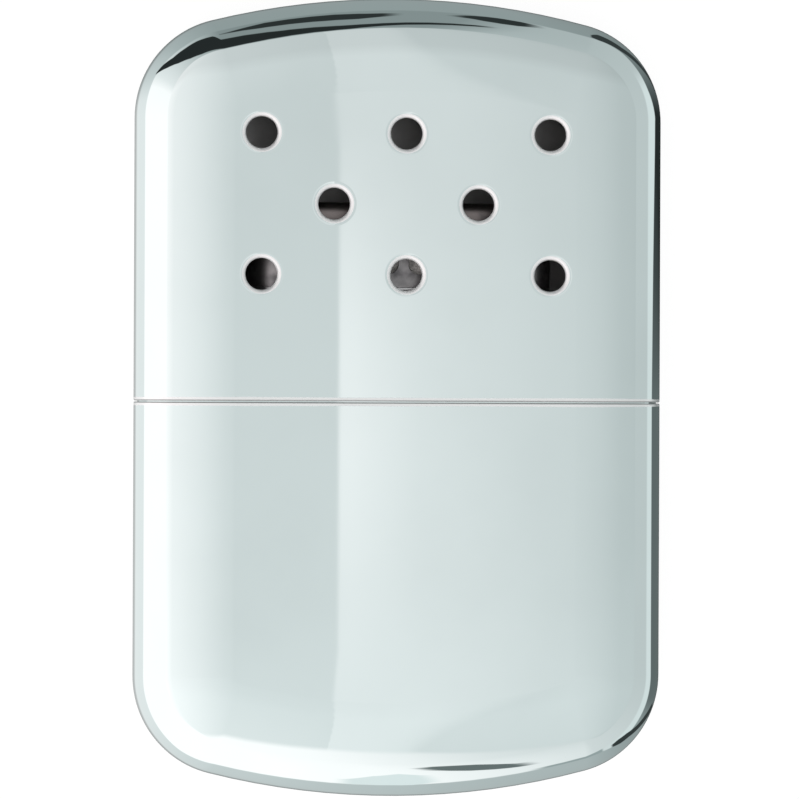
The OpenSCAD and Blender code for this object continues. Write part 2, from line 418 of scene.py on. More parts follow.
class Tree:
    """A node tree that starts empty."""

    def __init__(self, owner):
        owner.use_nodes = True
        self.nodes, self.links = owner.node_tree.nodes, owner.node_tree.links
        self.nodes.clear()

    def add(self, kind, settings, values, output=0):
        node = self.nodes.new("ShaderNode" + kind)
        for key, value in settings.items():
            if key == "stops":
                self.set_stops(node.color_ramp.elements, value)
            else:
                setattr(node, key, value)
        for key, value in values.items():
            if isinstance(value, Link):
                self.links.new(value.socket, node.inputs[key])
            else:
                node.inputs[key].default_value = value
        return Link(self, node.outputs[output]) if node.outputs else node

    @staticmethod
    def set_stops(elements, stops):
        while len(elements) > 1:
            elements.remove(elements[-1])
        for number, (place, level) in enumerate(stops):
            element = elements[0] if number == 0 else elements.new(place)
            element.position = place
            element.color = (*level, 1) if isinstance(level, tuple) else (level, level, level, 1)

    def mix(self, factor, first, second):
        """A colour between two colours."""
        return self.add("Mix", {"data_type": "RGBA"}, {0: factor, 6: first, 7: second}, output=2)

    def axes(self, output):
        """The three numbers of a Texture Coordinate output."""
        place = self.add("TexCoord", {}, {}, output)
        return [self.add("SeparateXYZ", {}, {0: place}, axis) for axis in (0, 1, 2)]

    def noise(self, scale, detail=2, stretch=(1, 1, 1), roughness=0.5):
        """Noise on the piece's own coordinates. The scale is in waves to the metre."""
        place = self.add("TexCoord", {}, {}, "Object")
        place = self.add("Mapping", {}, {"Vector": place, "Scale": stretch})
        values = {"Vector": place, "Scale": scale, "Detail": detail, "Roughness": roughness}
        return self.add("TexNoise", {}, values)

    def bump(self, height, distance, under=None):
        """A relief of a depth in metres, laid over another one if that is given."""
        values = {"Height": height, "Distance": distance, "Strength": 1.0}
        if under is not None:
            values["Normal"] = under
        return self.add("Bump", {}, values)

    def surface(self, **sockets):
        """The finished material: a Principled shader with these sockets."""
        named = {key.replace("_", " "): value for key, value in sockets.items()}
        shader = self.add("BsdfPrincipled", {}, named)
        self.add("OutputMaterial", {}, {"Surface": shader})


finishes = {}


def finish(name):
    """Starts a finish. Finishes are kept by name here, because the frame's own may share a name."""
    finishes[name] = bpy.data.materials.new(name)
    return Tree(finishes[name])


def wear(piece, name):
    """Gives a piece one material all over."""
    piece.data.materials.clear()
    piece.data.materials.append(finishes[name])
    for face in piece.data.polygons:
        face.material_index = 0

# %% [markdown]
# The cases are polished chrome. A bare mirror looks like a drawing, so the plate has what a drawn
# and buffed case has: a sheet that isn't quite flat, faint buffing lines along it, and patches
# where a hand has dulled the shine a little. Each is far finer than the reflection of the studio.
# A narrow line beside the joint is duller and painted pale, as a painted highlight, and the joint
# itself is dull. The inside of a drawn shell is never buffed, so it is plain plate with the long
# scratches of the die.

# %% Chrome
CHROME = (0.80, 0.91, 0.908, 1)
CHROME_DULL = (0.77, 0.877, 0.875, 1)
# The pale colour of the painted highlights, on the vents' lips and beside the joint.
PAINTED_HIGHLIGHT = (0.93, 0.96, 0.96, 1)
POLISH = 0.006
HIGHLIGHT_LINE_WIDTH = 0.5 * MM
HIGHLIGHT_LINE_WANDER = 0.3 * MM
HIGHLIGHT_LINE_DULL = 0.3


def chrome(name, dullest=0.02, joint_y=None):
    """Buffed plate, dulled by hands up to a roughness, with a painted highlight line beside a joint."""
    tree = finish(name)
    handling = tree.noise(55, detail=4)
    buffing = tree.noise(900, detail=3, stretch=(1, 0.06, 1))
    waves = tree.noise(20, detail=1)
    colour = tree.mix(handling.rise(0.35, 0.8), CHROME, CHROME_DULL)
    roughness = POLISH + handling.rise(0.45, 0.85) * (dullest - POLISH) + buffing * 0.005
    metallic = 1.0
    # A narrow line beside the joint is painted pale and dulled: a painted highlight.
    if joint_y is not None:
        away = abs(tree.axes("Object")[1] - joint_y) + (handling - 0.5) * HIGHLIGHT_LINE_WANDER
        highlight_line = away.rise(HIGHLIGHT_LINE_WIDTH, HIGHLIGHT_LINE_WIDTH * 0.8)
        colour = tree.mix(highlight_line, colour, PAINTED_HIGHLIGHT)
        roughness = roughness + highlight_line * HIGHLIGHT_LINE_DULL
        metallic = 1 - highlight_line * HIGHLIGHT_LINE_DULL
    drawn = tree.bump(waves, 0.0015 * MM)
    lined = tree.bump(buffing, 0.00005 * MM, under=drawn)
    tree.surface(Base_Color=colour, Metallic=metallic, Roughness=roughness, Normal=lined)


def edge_highlight_and_dull_joint(name, colour, metallic, dull):
    """A dull edge with fine scratches that scatter the light. At the joint the other shell rubs it; on a
    vent's lip its pale colour is a painted highlight.
    """
    tree = finish(name)
    scratches = tree.noise(2600, detail=2)
    lined = tree.bump(scratches, 0.002 * MM)
    tree.surface(Base_Color=colour, Metallic=metallic, Roughness=dull + scratches * 0.14, Normal=lined)


def bare_plate(name):
    """The unbuffed inside of a shell, with the die's scratches along it and dull stains."""
    tree = finish(name)
    scratches = tree.noise(1500, detail=3, stretch=(1, 0.05, 1))
    stains = tree.noise(160, detail=4)
    colour = tree.mix(stains.rise(0.35, 0.75), (0.5, 0.51, 0.51, 1), (0.36, 0.365, 0.365, 1))
    lined = tree.bump(scratches, 0.004 * MM)
    tree.surface(Base_Color=colour, Metallic=1.0, Roughness=0.36 + scratches * 0.16, Normal=lined)


def wear_where(piece, name, test):
    """Gives the faces that pass a test another material, and returns how many they are."""
    piece.data.materials.append(finishes[name])
    found = [face for face in piece.data.polygons if test(face)]
    for face in found:
        face.material_index = len(piece.data.materials) - 1
    return len(found)


def faces_inwards(face):
    """Whether a shell's face looks at the space that the shell holds."""
    core_x = min(max(face.center.x, -side_x), side_x)
    core_y = min(max(face.center.y, tank_low.y + corner_radius), lid_high.y - corner_radius)
    return (face.center - Vector((core_x, core_y, half_thick))).dot(face.normal) < 0


def on_vent_lip(face):
    """Whether a face is on the rolled lip of a vent."""
    x, y, z = face.center
    nearest = min(math.hypot(x - vent_x, y - seam_y - vent_y) for vent_x, vent_y in vent_places)
    return z > half_thick and nearest < VENT_RADIUS + LIP + 0.02 * MM


JOINT_DEPTH = 0.16 * MM


def in_joint(face):
    """Whether a face is on the bevels that meet at the joint."""
    return tank_y - JOINT_DEPTH < face.center.y < seam_y + JOINT_DEPTH


chrome("lid_chrome", joint_y=seam_y)
chrome("case_chrome", joint_y=tank_y)
# The vents' lips are painted pale all round: a painted highlight ring.
edge_highlight_and_dull_joint("lip_painted_highlight", PAINTED_HIGHLIGHT, 0.45, 0.34)
edge_highlight_and_dull_joint("dull_joint", (0.5, 0.53, 0.53, 1), 0.6, 0.45)
bare_plate("bare_plate")
wear(lid_skin, "lid_chrome")
wear(case_skin, "case_chrome")
face_finishes = {"bare_plate": faces_inwards, "lip_painted_highlight": on_vent_lip, "dull_joint": in_joint}
for skin in (lid_skin, case_skin):
    for name, test in face_finishes.items():
        print(skin.name, name, "on", wear_where(skin, name, test), "faces")
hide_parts("lid_shell")
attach(lid_skin, "lid")
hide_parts("case_shell")
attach(case_skin, "tank")
print("chrome on", lid_skin.name, "and", case_skin.name)

# %% [markdown]
# The rest lies under the lid, and shows when it is off or through the vents. Most of it is drawn
# sheet of one plan, a bar with round ends. So a section is drawn once, with straight moves and arcs,
# and swept round that plan: half a turn at the left, a straight run, half a turn at the right, and
# back. A closed section gives a closed ring.

# %% Sweeps round the burner's plan
HALF_TURN_STEPS = 24
ARC_STEPS = 8


def sweep_round(run):
    """Sweeps what is selected, drawn over x = -run, once round a bar with round ends."""
    spin(-math.pi, (-run, 0, 0), (0, 1, 0), HALF_TURN_STEPS)
    extrude((2 * run, 0, 0))
    spin(-math.pi, (run, 0, 0), (0, 1, 0), HALF_TURN_STEPS)
    extrude((-2 * run, 0, 0))


def swept(name, run, start, moves):
    """A section from a start (y, z), swept round: a move is a shift (y, z), or a turn and its centre."""
    piece = point(name, (-run, *start))
    for move_by in moves:
        if len(move_by) == 2:
            extrude((0, *move_by))
        else:
            turn, centre_y, centre_z = move_by
            spin(turn, (-run, centre_y, centre_z), (1, 0, 0), ARC_STEPS)
    bpy.ops.mesh.select_all(action="SELECT")
    sweep_round(run)
    close()
    weld(piece)
    return piece


def wire(name, width, thick, y):
    """The plan's outline as a wire at one height."""
    run = (width - thick) / 2
    piece = point(name, (-run, y, thick / 2))
    sweep_round(run)
    close()
    weld(piece, outwards=False)
    return piece


def plate(name, wires, thickness):
    """A flat plate from its outline and its holes, all wires at the height of its top."""
    piece = join(wires[0], wires[1:])
    piece.name = piece.data.name = name
    edit(piece)
    bpy.ops.mesh.select_all(action="SELECT")
    bpy.ops.mesh.fill(use_beauty=True)
    extrude((0, -thickness, 0))
    close()
    weld(piece)
    return piece


def box_of(node):
    """A node's lowest and highest corner, with z counted from the mid plane."""
    low, high = (Vector(corner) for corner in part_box(node))
    return low - Vector((0, 0, half_thick)), high - Vector((0, 0, half_thick))


def settle(piece, node, body):
    """Lifts a finished piece to its place and puts it in its node's stead."""
    move(piece, (0, 0, half_thick))
    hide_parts(node)
    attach(piece, body)
    print(piece.name, len(piece.data.polygons), "faces", extent(piece), "node", [
        [round(v / MM, 2) for v in corner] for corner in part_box(node)])


# %% [markdown]
# The neck is drawn from sheet too: the case's own section, a little smaller, with a rounded shoulder
# and a flat deck. The closed outline is extruded and capped. The cap is inset and lifted in small
# steps along a quarter arc, which rounds its rim, and is then filled again round the collar's hole.

# %% Neck
def section_wire(name, y, inset):
    """The case's whole section as a wire, drawn in by an inset."""
    piece = section_chain(name, y, inset)
    bpy.ops.mesh.duplicate()
    bpy.ops.transform.resize(value=(-1, 1, 1), center_override=(0, 0, 0))
    for side in (1, -1):
        z = side * (half_thick - inset)
        pick(piece, "VERT", lambda v: abs(v.co.z - z) < TOUCH and abs(v.co.x) < flat_inner_x)
        bpy.ops.mesh.edge_face_add()
    close()
    weld(piece, outwards=False)
    return piece


def at_height(edge, y):
    """Whether both ends of an edge are at a height y."""
    return all(abs(v.co.y - y) < TOUCH for v in edge.verts)


SHOULDER_RADIUS = 1 * MM
SHOULDER_STEPS = 6
SOLDER = 0.03 * MM
neck_low, neck_high = box_of("neck_cap")
collar_low, collar_high = box_of("burner_collar")
FLANGE = 1.94 * MM
collar_width = collar_high.x * 2 - 2 * FLANGE
collar_thick = collar_high.z * 2 - 2 * FLANGE

neck = section_wire("neck", neck_low.y, half_thick - neck_high.z)
edit(neck)
bpy.ops.mesh.select_all(action="SELECT")
extrude((0, neck_high.y - SHOULDER_RADIUS - neck_low.y, 0))
bpy.ops.mesh.edge_face_add()
close()
weld(neck)
edit(neck)
pick(neck, "FACE", lambda f: len(f.verts) > 8)
for step in range(SHOULDER_STEPS):
    start, end = (math.pi / 2 * place / SHOULDER_STEPS for place in (step, step + 1))
    bpy.ops.mesh.inset(thickness=SHOULDER_RADIUS * (math.cos(start) - math.cos(end)),
                       depth=SHOULDER_RADIUS * (math.sin(end) - math.sin(start)))
bpy.ops.mesh.delete(type="ONLY_FACE")
close()
join(neck, [wire("neck_hole", collar_width + 2 * SOLDER, collar_thick + 2 * SOLDER, neck_high.y)])
edit(neck)
pick(neck, "EDGE", lambda e: len(e.link_faces) < 2 and at_height(e, neck_high.y))
bpy.ops.mesh.fill(use_beauty=True)
close()
weld(neck)
finish_with(neck, "SOLIDIFY", thickness=wall, offset=-1, use_even_offset=True)
polish(neck)
chrome("neck_chrome", dullest=0.09)
wear(neck, "neck_chrome")
settle(neck, "neck_cap", "tank")

# %% [markdown]
# The collar's and the burner's steel is plain: rolled sheet, duller than the plate. Noise that is
# stretched along the sheet makes its fine grain, and wide, soft noise makes the stains.

# %% Steel
GRAIN = (0.05, 1, 1)
STAINED = 0.8


def steel(name, colour, dull):
    """Rolled sheet with a fine grain, and stains where it has been warm and handled."""
    tree = finish(name)
    lines = tree.noise(5200, detail=3, stretch=GRAIN)
    stains = tree.noise(240, detail=4)
    red, green, blue, alpha = colour
    dark = (red * STAINED, green * STAINED, blue * STAINED, alpha)
    shade = tree.mix(stains.rise(0.35, 0.75), colour, dark)
    lined = tree.bump(lines, 0.004 * MM)
    roughness = dull + lines * 0.14 + stains * 0.08
    tree.surface(Base_Color=shade, Metallic=1.0, Roughness=roughness, Normal=lined)


# %% [markdown]
# The collar is flanged under the deck, and its mouth is curled so that the burner slips over it. One
# swept section does all of it: out along the flange, up the wall, half a turn for the curl, and down.

# %% Collar
CURL = 0.2 * MM
top, foot = collar_high.y, collar_low.y
outer, inner = collar_thick / 2, collar_thick / 2 - wall
collar = swept("collar", (collar_width - collar_thick) / 2, (foot, inner), [
    (0, wall + FLANGE), (wall, 0), (0, -FLANGE), (top - CURL - foot - wall, 0),
    (-math.pi, top - CURL, outer - CURL), (foot - top + CURL, 0)])
smooth(collar, 35)
steel("collar_finish", (0.66, 0.67, 0.68, 1), 0.22)
wear(collar, "collar_finish")
settle(collar, "burner_collar", "tank")

# %% [markdown]
# The burner's foot slips over the collar. Its hem is rolled into a bead, and a shoulder plate with a
# long port closes its top.

# %% Burner skirt
SKIRT_FIT = 0.05 * MM
SKIRT_WALL = 0.5 * MM
BEAD_RADIUS = 0.5 * MM
SHOULDER = 0.5 * MM
PORT_LENGTH = 30 * MM
PORT_WIDTH = 4.4 * MM
skirt_low, skirt_high = box_of("burner_skirt")
cage_low, cage_high = box_of("burner_cage")
cage_width, cage_thick = 2 * cage_high.x, 2 * cage_high.z
inner = collar_thick / 2 + SKIRT_FIT
outer = inner + SKIRT_WALL
bead_z = skirt_high.z - BEAD_RADIUS
hem, under = skirt_low.y, skirt_high.y - SHOULDER
skirt = swept("skirt", (collar_width - collar_thick) / 2, (hem, inner), [
    (0, bead_z - inner), (-math.pi, hem + BEAD_RADIUS, bead_z), (0, outer - bead_z),
    (under - hem - 2 * BEAD_RADIUS, 0), (0, -SKIRT_WALL), (hem - under, 0)])
rim = wire("shoulder_edge", cage_width, cage_thick, skirt_high.y)
port = wire("port", PORT_LENGTH, PORT_WIDTH, skirt_high.y)
shoulder = plate("shoulder", [rim, port], SHOULDER)
finish_with(shoulder, "BEVEL", width=0.1 * MM, segments=3, limit_method="ANGLE",
            angle_limit=math.radians(60))
join(skirt, [shoulder])
smooth(skirt, 35)
steel("skirt_finish", (0.66, 0.67, 0.68, 1), 0.25)
wear(skirt, "skirt_finish")
settle(skirt, "burner_skirt", "burner")

# %% [markdown]
# The cage is a drawn cover with a round top edge. A row of windows is punched through both faces,
# and a row of slots across the top. Each cutter is made once and copied along the row, and one
# boolean cuts them all, as a gang punch does.

# %% Burner cage
WINDOW_WIDTH = 2.6 * MM
WINDOW_HEIGHT = 6.5 * MM
WINDOW_PITCH = 3.8 * MM
WINDOW_BASE = 1.6 * MM
WINDOW_COUNT = 8
SLOT_LENGTH = 3.8 * MM
CAGE_EDGE = 1.6 * MM
PUNCH_SPARE = 2 * MM


def punch(name, length, width, depth):
    """A cutter with round ends, its length along X and its depth along Y."""
    piece = wire(name, length, width, -depth / 2)
    edit(piece)
    bpy.ops.mesh.select_all(action="SELECT")
    bpy.ops.mesh.edge_face_add()
    extrude((0, depth, 0))
    close()
    weld(piece)
    return piece


def quarter_turn(piece, axis):
    """Turns a piece a quarter about an axis through the origin."""
    edit(piece)
    bpy.ops.mesh.select_all(action="SELECT")
    bpy.ops.transform.rotate(value=math.pi / 2, orient_axis=axis, center_override=(0, 0, 0))
    close()


run = (cage_width - cage_thick) / 2
straight = cage_high.y - CAGE_EDGE - cage_low.y
cage = swept("cage", run, (cage_low.y, cage_thick / 2), [
    (straight, 0), (-math.pi / 2, cage_high.y - CAGE_EDGE, cage_thick / 2 - CAGE_EDGE)])
edit(cage)
pick(cage, "EDGE", lambda e: e.is_boundary and at_height(e, cage_high.y))
bpy.ops.mesh.edge_face_add()
close()
weld(cage)
finish_with(cage, "SOLIDIFY", thickness=wall, offset=-1, use_even_offset=True)

window = punch("window", WINDOW_HEIGHT, WINDOW_WIDTH, cage_thick + PUNCH_SPARE)
quarter_turn(window, "Z")
quarter_turn(window, "Y")
slot = punch("slot", SLOT_LENGTH, WINDOW_WIDTH, PUNCH_SPARE)
quarter_turn(slot, "Y")
punches = []
for x in centred(WINDOW_COUNT, WINDOW_PITCH):
    for pattern, y in ((window, cage_low.y + WINDOW_BASE + WINDOW_HEIGHT / 2), (slot, cage_high.y)):
        punches.append(copy_of(pattern, f"punch_{len(punches)}"))
        move(punches[-1], (x, y, 0))
gang = join(punches[0], punches[1:])
finish_with(cage, "BOOLEAN", object=gang, operation="DIFFERENCE", solver="EXACT")
for used in (window, slot, gang):
    drop(used)
smooth(cage, 35)


def heated_steel(name):
    """The cage's plate: browned towards its top, where it has been hot, and darker in patches."""
    tree = finish(name)
    height = tree.axes("Object")[1]
    dark_patches = tree.noise(300, detail=5)
    grain = tree.noise(4200, detail=2, stretch=(1, 0.06, 1))
    heat = height.rise(cage_low.y, cage_high.y) + (dark_patches - 0.5) * 0.8
    tint = tree.mix(heat.rise(0.3, 0.8), (0.36, 0.355, 0.36, 1), (0.25, 0.225, 0.22, 1))
    # Dark patches over the tint, down to near black.
    shade = tree.mix(dark_patches.rise(0.45, 0.75), tint, (0.1, 0.1, 0.105, 1))
    lined = tree.bump(grain, 0.003 * MM)
    tree.surface(Base_Color=shade, Metallic=1.0, Roughness=0.32 + dark_patches * 0.2, Normal=lined)


heated_steel("cage_finish")
wear(cage, "cage_finish")
settle(cage, "burner_cage", "burner")

# %% [markdown]
# Between the shoulder and the mat lies a plate pierced in three rows. Each hole is a ring of edges in
# the plate's outline, so filling the outline leaves them open.

# %% Gauze
HOLE_RADIUS = 0.6 * MM
HOLE_PITCH = 2 * MM
HOLE_COLUMNS = 15
HOLE_ROWS = 3
gauze_low, gauze_high = box_of("catalyst_gauze")
hole = add("circle", "hole", radius=HOLE_RADIUS, vertices=20, location=(0, gauze_high.y, 0),
           rotation=(math.pi / 2, 0, 0))
rings = []
for x in centred(HOLE_COLUMNS, HOLE_PITCH):
    for z in centred(HOLE_ROWS, HOLE_PITCH):
        rings.append(copy_of(hole, f"hole_{len(rings)}"))
        move(rings[-1], (x, 0, z))
drop(hole)
outline = wire("gauze_edge", 2 * gauze_high.x, 2 * gauze_high.z, gauze_high.y)
gauze = plate("gauze", [outline, *rings], gauze_high.y - gauze_low.y)
smooth(gauze, 35)
steel("gauze_finish", (0.6, 0.61, 0.62, 1), 0.3)
wear(gauze, "gauze_finish")
settle(gauze, "catalyst_gauze", "burner")

# %% [markdown]
# What is left is soft: the fibre mat, the wick's felt and three wads of cotton. Each starts as a
# plain block of the space that it fills. It is remeshed fine, its skin is pushed in here and there
# by a cloud pattern, and it is relaxed, so it fills its space loosely and never leaves it.

# %% Soft pieces
def loosen(piece, voxel, depth, lump):
    """Makes a plain block soft: remeshed, dented by clouds of a given size, and relaxed."""
    clouds = bpy.data.textures.new(piece.name + "_clouds", "CLOUDS")
    clouds.noise_scale = lump
    clouds.noise_depth = 3
    finish_with(piece, "REMESH", mode="VOXEL", voxel_size=voxel)
    finish_with(piece, "DISPLACE", texture=clouds, texture_coords="LOCAL", strength=depth, mid_level=1.0)
    finish_with(piece, "SMOOTH", factor=0.5, iterations=2)
    smooth(piece, 180)


def fibres(name, colour, shadow, scale, depth):
    """Matted fibres: pale tips over darker gaps, which are painted shade, with a soft nap."""
    tree = finish(name)
    tufts = tree.noise(scale, detail=4, roughness=0.7)
    strands = tree.noise(scale * 5, detail=3, stretch=(0.25, 1, 1), roughness=0.65)
    level = tufts * 0.6 + strands * 0.4
    # Painted shade: the low places of the relief take the darker colour.
    shade = tree.mix(level.rise(0.35, 0.62), shadow, colour)
    matted = tree.bump(level, depth)
    tree.surface(Base_Color=shade, Roughness=0.95, Sheen_Weight=0.25, Sheen_Roughness=0.5, Normal=matted)


def block(name, section, top):
    """A closed block from a wire at its foot to a top."""
    edit(section)
    section.name = section.data.name = name
    bpy.ops.mesh.select_all(action="SELECT")
    foot_y = section.data.vertices[0].co.y
    bpy.ops.mesh.edge_face_add()
    extrude((0, top - foot_y, 0))
    close()
    weld(section)
    return section


fibres("felt_finish", (0.93, 0.92, 0.89, 1), (0.74, 0.72, 0.68, 1), 900, 0.12 * MM)
fibres("cotton_finish", (0.95, 0.94, 0.92, 1), (0.82, 0.8, 0.77, 1), 500, 0.25 * MM)
fibres("mat_finish", (0.86, 0.85, 0.82, 1), (0.4, 0.4, 0.39, 1), 1100, 0.1 * MM)
print("finishes", sorted(finishes))

# %% [markdown]
# The mat fills the cage and has the cage's round top edge. The felt stands in the collar's throat as
# a plain bar. Both are pressed firm, so their lumps are small and they fill most of their space.

# %% Mat and felt
mat_low, mat_high = box_of("catalyst_mat")
MAT_EDGE = 1.4 * MM
run = mat_high.x - mat_high.z
mat = swept("mat", run, (mat_low.y, mat_high.z), [
    (mat_high.y - MAT_EDGE - mat_low.y, 0), (-math.pi / 2, mat_high.y - MAT_EDGE, mat_high.z - MAT_EDGE)])
edit(mat)
for end in (mat_low.y, mat_high.y):
    pick(mat, "EDGE", lambda e: e.is_boundary and at_height(e, end))
    bpy.ops.mesh.edge_face_add()
close()
weld(mat)
loosen(mat, voxel=0.3 * MM, depth=0.35 * MM, lump=1.2 * MM)
wear(mat, "mat_finish")
settle(mat, "catalyst_mat", "burner")

felt_low, felt_high = box_of("wick_felt")
felt = block("felt_pad", wire("felt_foot", 2 * felt_high.x, 2 * felt_high.z, felt_low.y), felt_high.y)
loosen(felt, voxel=0.22 * MM, depth=0.25 * MM, lump=1.0 * MM)
wear(felt, "felt_finish")
settle(felt, "wick_felt", "tank")

# %% [markdown]
# The tank is stuffed with three wads of cotton, which hold the fuel. The upper two are slices of the
# case's section, and the last one fills the bowed end, so it is swept as the case's own skin is.

# %% Cotton
def round_wad(name, start, inset):
    """The wad in the tank's bowed end, swept as the case is and turned end for end."""
    piece = sweep_skin(name, tank_length, start, inset)
    weld(piece, outwards=False)
    edit(piece)
    for side in (1, -1):
        flat_outline(piece, side, start, inset)
        bpy.ops.mesh.fill(use_beauty=True)
    pick(piece, "EDGE", lambda e: e.is_boundary and at_height(e, start))
    bpy.ops.mesh.edge_face_add()
    close()
    weld(piece)
    move(piece, (0, tank_y, 0), flip_y=True)
    return piece


for place in ("top", "middle", "bottom"):
    node = "cotton_wad_" + place
    low, high = box_of(node)
    inset = half_thick - high.z
    if place == "bottom":
        wad = round_wad("wad_bottom", tank_y - high.y, inset)
    else:
        wad = block("wad_" + place, section_wire("wad_foot", low.y, inset), high.y)
    loosen(wad, voxel=0.6 * MM, depth=0.9 * MM, lump=4 * MM)
    wear(wad, "cotton_finish")
    settle(wad, node, "tank")

# %% [markdown]
# Chrome has no look of its own: what shows is the studio. The flat face mirrors what hangs overhead,
# and the rounded edge mirrors the whole room, squeezed into a few millimetres. So the room is
# painted on the world by direction, as an environment, and is the same whichever way a camera
# looks. Overhead, a bright panel with a sharp left edge fades away to the right. The walls are white
# to the left and in front, and grey to the right and at the far end.

# %% The room's tones
DEGREES = 180 / math.pi
# Ceilings: the angle from overhead, to the left below 0 and to the right above it, and the tone.
LEFT_CEILING = [(-60, 1.2), (-39, 1.1), (-20, 0.97), (-9.4, 0.89), (5, 0.76), (7.1, 0.735), (12, 0.71)]
RIGHT_CEILING = [(7, 0.97), (8.3, 0.955), (9, 0.84), (10.6, 0.715), (23, 0.67), (34, 0.61), (50, 0.58),
                 (80, 0.66), (92, 0.6)]
END_CEILING = [(7, 0.82), (8.4, 0.81), (9.3, 0.8), (9.9, 0.78), (10.6, 0.72), (23, 0.67), (34, 0.61),
               (50, 0.58), (80, 0.66), (92, 0.6)]
# Along the ceiling: the run to the far end for each unit of height, and what its tones are scaled by.
ALONG = [(-1.2, 0.95), (-0.6, 1.12), (-0.2, 1.12), (-0.055, 1.08), (-0.036, 1.035), (0, 1),
         (0.05, 0.955), (0.38, 0.955), (0.5, 0.86), (1.2, 0.82)]
# Walls and ground: the bearing and the tone.
WALLS = [(-180, 1.15), (-90, 1.15), (-80, 1.09), (-72, 0.98), (-66, 0.86), (-60, 0.76), (-20, 0.66),
         (0, 0.62), (20, 0.6), (62, 0.55), (70, 0.5), (76, 0.3), (96, 0.3), (110, 0.5), (148, 0.9),
         (156, 1.1), (180, 1.15)]
GROUND = [(-180, 0.9), (-150, 0.88), (-100, 0.72), (-85, 0.6), (-65, 0.5), (-45, 0.4), (-28, 0.32),
          (-15, 0.16), (0.3, 0.15), (1.4, 0.07), (2.8, 0.025), (8, 0.025), (14, 0.07), (30, 0.2),
          (55, 0.28), (70, 0.35), (97, 0.37), (125, 0.48), (150, 0.68), (165, 0.86), (180, 0.9)]
# Where the walls meet the ceiling and the ground: the bearing and the angle from overhead.
WALL_TOP = [(-180, 40), (-115, 31), (-88, 29), (-78, 28), (-70, 29), (-50, 45), (60, 45), (75, 43),
            (88, 38), (120, 42), (180, 40)]
HORIZON = [(-180, 107), (-120, 108), (-85, 97), (-60, 87), (-45, 100), (-20, 102), (0, 101), (1.4, 105),
           (3, 112), (6, 112), (20, 105), (45, 104), (65, 94), (120, 94), (150, 106), (180, 107)]
print("bearings given", len(WALLS), "for the walls and", len(GROUND), "for the ground")

# %% [markdown]
# Flags stand round the room: dark things, and one pale card, that the photographer sets up so that
# a shiny rim is drawn in lines. Each one is a band between two heights, given at a few bearings.
# Heights are angles down from overhead, and bearings are angles round from the right.

# %% The flags
# Each flag has its shade and its stops: the bearing, the height of its top and that of its foot.
FLAGS = {
    "far_left": (0.022, [(73, 59, 63), (79, 49, 57), (82, 41, 53), (84, 41, 52), (90, 39, 57),
                         (96, 41, 66), (101, 43, 81), (112, 46, 86), (122, 53, 87), (132, 66, 91),
                         (140, 84, 103), (147, 106, 109)]),
    "far_rail": (0.03, [(82, 76, 84), (84, 68, 84), (87, 69, 87), (93, 74, 89), (96, 80, 82)]),
    "far_post": (0.03, [(70.5, 84, 92), (72, 76, 94), (74, 76, 94), (75.5, 80, 92), (77, 82, 86)]),
    "right_far_foot": (0.04, [(17, 150, 165), (30, 127, 144), (45, 107, 124), (60, 96, 118),
                              (65, 97, 106)]),
    "right_near_foot": (0.04, [(-49, 89, 97), (-44, 88, 106), (-38, 94, 112), (-30, 110, 127),
                               (-24, 120, 140), (-17, 135, 160)]),
    "near_post": (0.16, [(-76.5, 46, 52), (-75, 43, 60), (-72, 44, 69), (-70, 62, 72)]),
    "near_rail": (0.36, [(-70, 86, 92), (-62, 83, 90), (-55, 82, 92)]),
    "near_card": (0.86, [(-86, 82, 97), (-83, 68, 97), (-80, 60, 97), (-78.5, 66, 90)]),
}
print("flags", list(FLAGS))

# %% [markdown]
# Every direction is turned into a bearing and a height, and each part of the room is laid over the
# last: the ceiling with its panel's sharp edge, the walls, a line of light at the right, the ground,
# and the flags. A colour ramp carries each tone round the room. The background that a camera sees
# is plain white.

# %% The studio
WARMTH = 0.2
NEUTRAL_TONE = 0.72
FLAG_COOLNESS = 0.15
FLAG_BLUR = 1.2


def cast(stops):
    """Tones as colours: the room's whites are a little warm and its greys a little cool."""
    return [(place, (tone * (1 + WARMTH * (tone - NEUTRAL_TONE)), tone, tone)) for place, tone in stops]


def across_ceiling(side, stops):
    """A tone that changes from the ceiling's left to its right."""
    return side.ramp(stops[0][0], stops[-1][0], cast(stops))


def by_bearing(bearing, stops):
    """A tone that changes round the room."""
    return bearing.ramp(-180, 180, cast(stops))


def angle_by_bearing(bearing, stops):
    """A height, in degrees from overhead, that changes round the room."""
    return bearing.ramp(-180, 180, [(place, height / 180) for place, height in stops]) * 180


def flag_mask(bearing, zenith, stops):
    """1 inside a flag and 0 outside it, with soft edges."""
    top = angle_by_bearing(bearing, [(place, high) for place, high, low in stops])
    foot = angle_by_bearing(bearing, [(place, low) for place, high, low in stops])
    inside = (zenith - top).rise(-FLAG_BLUR, FLAG_BLUR) * (zenith - foot).rise(FLAG_BLUR, -FLAG_BLUR)
    first, last = stops[0][0], stops[-1][0]
    return inside * bearing.rise(first - 1, first + 1) * bearing.rise(last + 1, last - 1)


# The panel's edge runs along the ceiling, and drifts to the left past what the flat face mirrors.
# Places on the ceiling are runs across or along it for each unit of height.
PANEL_EDGE = 0.1438
PANEL_BLUR = 0.0006
FLAT_REACH = 0.045
EDGE_DRIFT = 0.09
EDGE_EASE = 0.6
END_REACH = 0.07
LEAST_HEIGHT = 0.05
# The line of light at the right, the blurs and the shade under the rim. Angles are in degrees.
LIGHT_LINE = (0.78, 0.8, 0.8, 1)
LIGHT_LINE_TOP = (80, 86)
LIGHT_LINE_BEARING = -12
LIGHT_LINE_ENDS = (48, 30)
WALL_BLUR = 1.5
HORIZON_BLUR = 2
RIM_SHADE = 0.4
RIM_SHADE_FROM = (144, 158)


